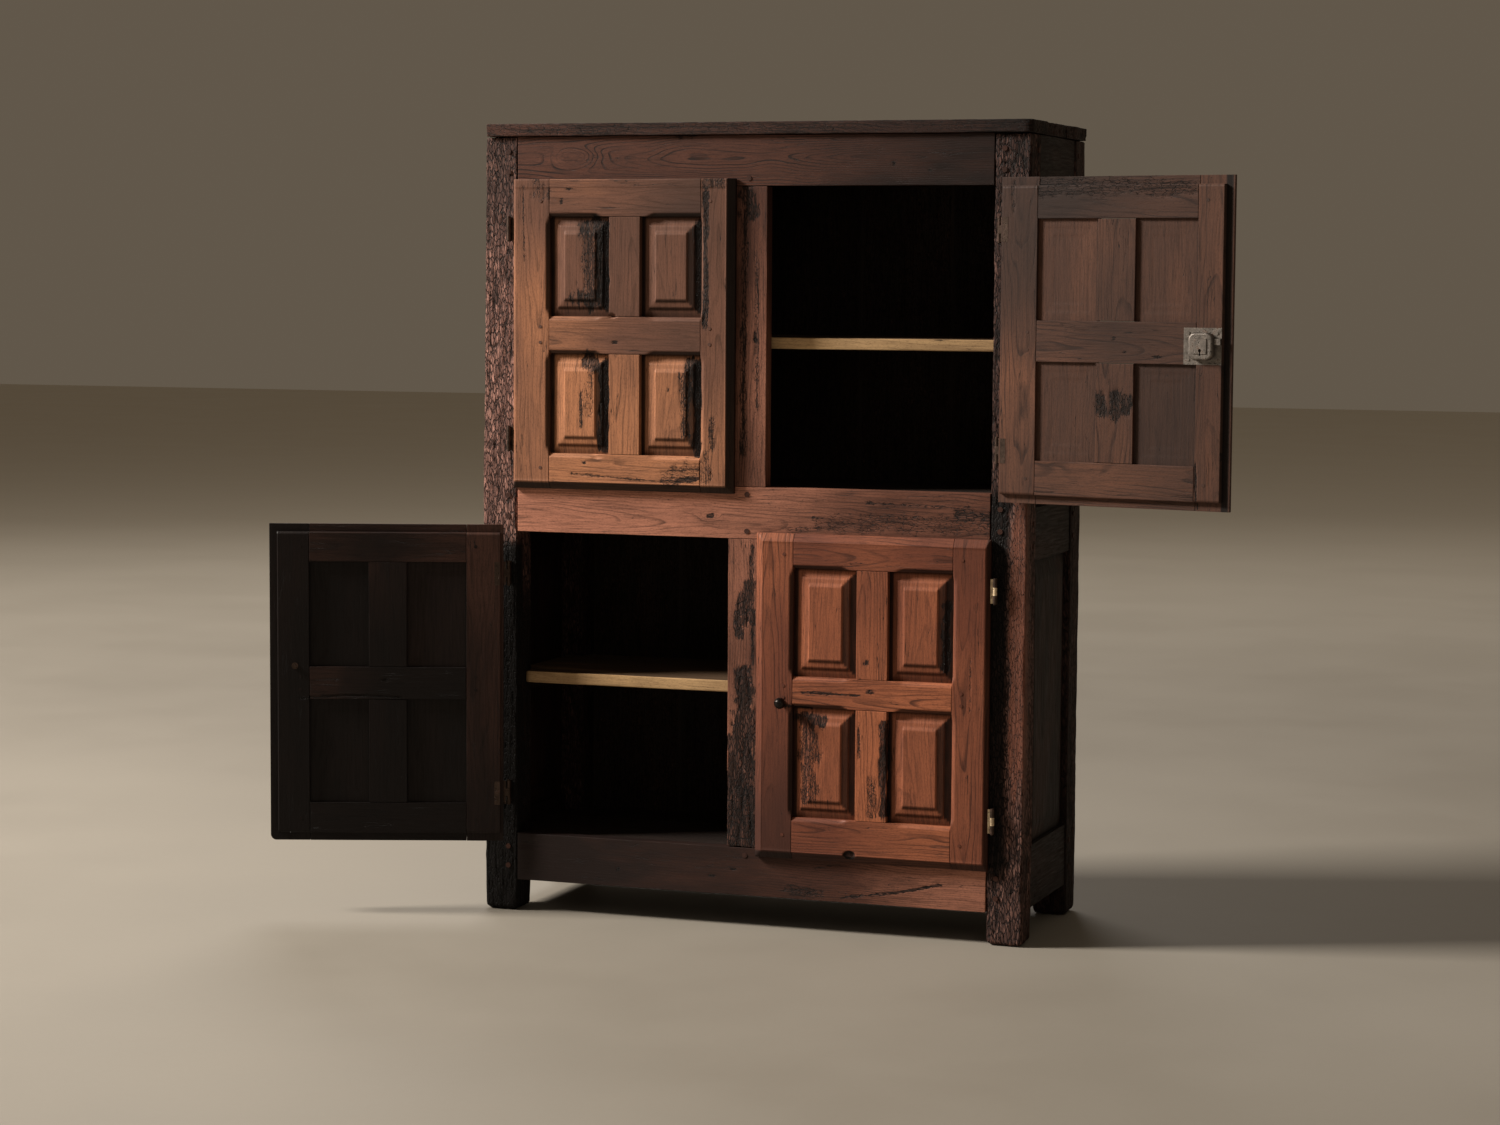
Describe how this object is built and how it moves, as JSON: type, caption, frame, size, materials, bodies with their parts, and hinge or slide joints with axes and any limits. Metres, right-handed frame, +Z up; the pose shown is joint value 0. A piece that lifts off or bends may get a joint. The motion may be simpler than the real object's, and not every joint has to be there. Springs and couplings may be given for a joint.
{
  "type": "court cupboard",
  "caption": "Free-standing oak cupboard of pegged frame and panel work, with lipped panelled doors in two tiers, plank top, inner shelves, pin hinges, iron knobs and a rim lock.",
  "frame": {"origin": "outer front corner of the front left foot, on the floor", "axes": "+X along the front to the right, +Y from the front to the back, +Z up"},
  "size_m": [2.0585, 0.6512, 1.688],
  "materials": {
    "frame_wood": "old dark oak, waxed, with open grain, checks and worn edges",
    "upper_left_door_wood": "waxed oak, worn to a warm brown",
    "upper_right_door_wood": "inner face of oak, dry and less waxed",
    "lower_left_door_wood": "dark oak, dry inner face",
    "lower_right_door_wood": "waxed oak, reddish brown",
    "shelf_wood": "bare pale wood, hand sawn",
    "inner_wood": "dark unwaxed boards",
    "peg_wood": "dark oak pegs, end grain",
    "wrought_iron": "dark hand-forged iron",
    "lock_iron": "pale weathered iron with rust stains"
  },
  "bodies": {
    "cupboard": {"back_boards": "inner_wood", "carcass_pegs": "peg_wood", "floor_boards": "inner_wood", "front_bottom_rail": "frame_wood", "front_left_post": "frame_wood", "front_middle_rail": "frame_wood", "front_muntins": "frame_wood", "front_right_post": "frame_wood", "front_top_rail": "frame_wood", "lower_shelf": "shelf_wood", "nails": "wrought_iron", "post_hinge_leaves": "wrought_iron", "rear_left_post": "frame_wood", "rear_rails": "inner_wood", "rear_right_post": "frame_wood", "shelf_battens": "inner_wood", "side_panels": "frame_wood", "side_rails": "frame_wood", "top_boards": "frame_wood", "upper_shelf": "shelf_wood"},
    "upper_left_door": {"upper_left_door_bottom_rail": "upper_left_door_wood", "upper_left_door_hinge_leaves": "wrought_iron", "upper_left_door_hinge_stile": "upper_left_door_wood", "upper_left_door_lock_stile": "upper_left_door_wood", "upper_left_door_middle_rail": "upper_left_door_wood", "upper_left_door_muntins": "upper_left_door_wood", "upper_left_door_panels": "upper_left_door_wood", "upper_left_door_pegs": "peg_wood", "upper_left_door_top_rail": "upper_left_door_wood"},
    "upper_right_door": {"rim_lock": "lock_iron", "upper_right_door_bottom_rail": "upper_right_door_wood", "upper_right_door_hinge_leaves": "wrought_iron", "upper_right_door_hinge_stile": "upper_right_door_wood", "upper_right_door_lock_stile": "upper_right_door_wood", "upper_right_door_middle_rail": "upper_right_door_wood", "upper_right_door_muntins": "upper_right_door_wood", "upper_right_door_panels": "upper_right_door_wood", "upper_right_door_pegs": "peg_wood", "upper_right_door_top_rail": "upper_right_door_wood"},
    "lower_left_door": {"lower_left_door_bottom_rail": "lower_left_door_wood", "lower_left_door_hinge_leaves": "wrought_iron", "lower_left_door_hinge_stile": "lower_left_door_wood", "lower_left_door_knob": "wrought_iron", "lower_left_door_lock_stile": "lower_left_door_wood", "lower_left_door_middle_rail": "lower_left_door_wood", "lower_left_door_muntins": "lower_left_door_wood", "lower_left_door_panels": "lower_left_door_wood", "lower_left_door_pegs": "peg_wood", "lower_left_door_top_rail": "lower_left_door_wood"},
    "lower_right_door": {"lower_right_door_bottom_rail": "lower_right_door_wood", "lower_right_door_hinge_leaves": "wrought_iron", "lower_right_door_hinge_stile": "lower_right_door_wood", "lower_right_door_knob": "wrought_iron", "lower_right_door_lock_stile": "lower_right_door_wood", "lower_right_door_middle_rail": "lower_right_door_wood", "lower_right_door_muntins": "lower_right_door_wood", "lower_right_door_panels": "lower_right_door_wood", "lower_right_door_pegs": "peg_wood", "lower_right_door_top_rail": "lower_right_door_wood"},
    "lock_bolt": {"lock_bolt": "lock_iron"}
  },
  "joints": [
    {"name": "upper_left_door_hinge", "type": "hinge", "parent": "cupboard", "child": "upper_left_door", "pos_m": [0.0617, -0.012, 1.243], "axis": [0, 0, -1], "range_deg": [0, 170]},
    {"name": "upper_right_door_hinge", "type": "hinge", "parent": "cupboard", "child": "upper_right_door", "pos_m": [1.1383, -0.012, 1.243], "axis": [0, 0, 1], "range_deg": [-168, 8]},
    {"name": "lower_left_door_hinge", "type": "hinge", "parent": "cupboard", "child": "lower_left_door", "pos_m": [0.0617, -0.012, 0.4955], "axis": [0, 0, -1], "range_deg": [-160, 10]},
    {"name": "lower_right_door_hinge", "type": "hinge", "parent": "cupboard", "child": "lower_right_door", "pos_m": [1.1383, -0.012, 0.4955], "axis": [0, 0, 1], "range_deg": [0, 170]},
    {"name": "lock_bolt_slide", "type": "slide", "parent": "upper_right_door", "child": "lock_bolt", "axis": [0.9781, -0.2079, 0], "range_m": [0, 0.01]}
  ]
}
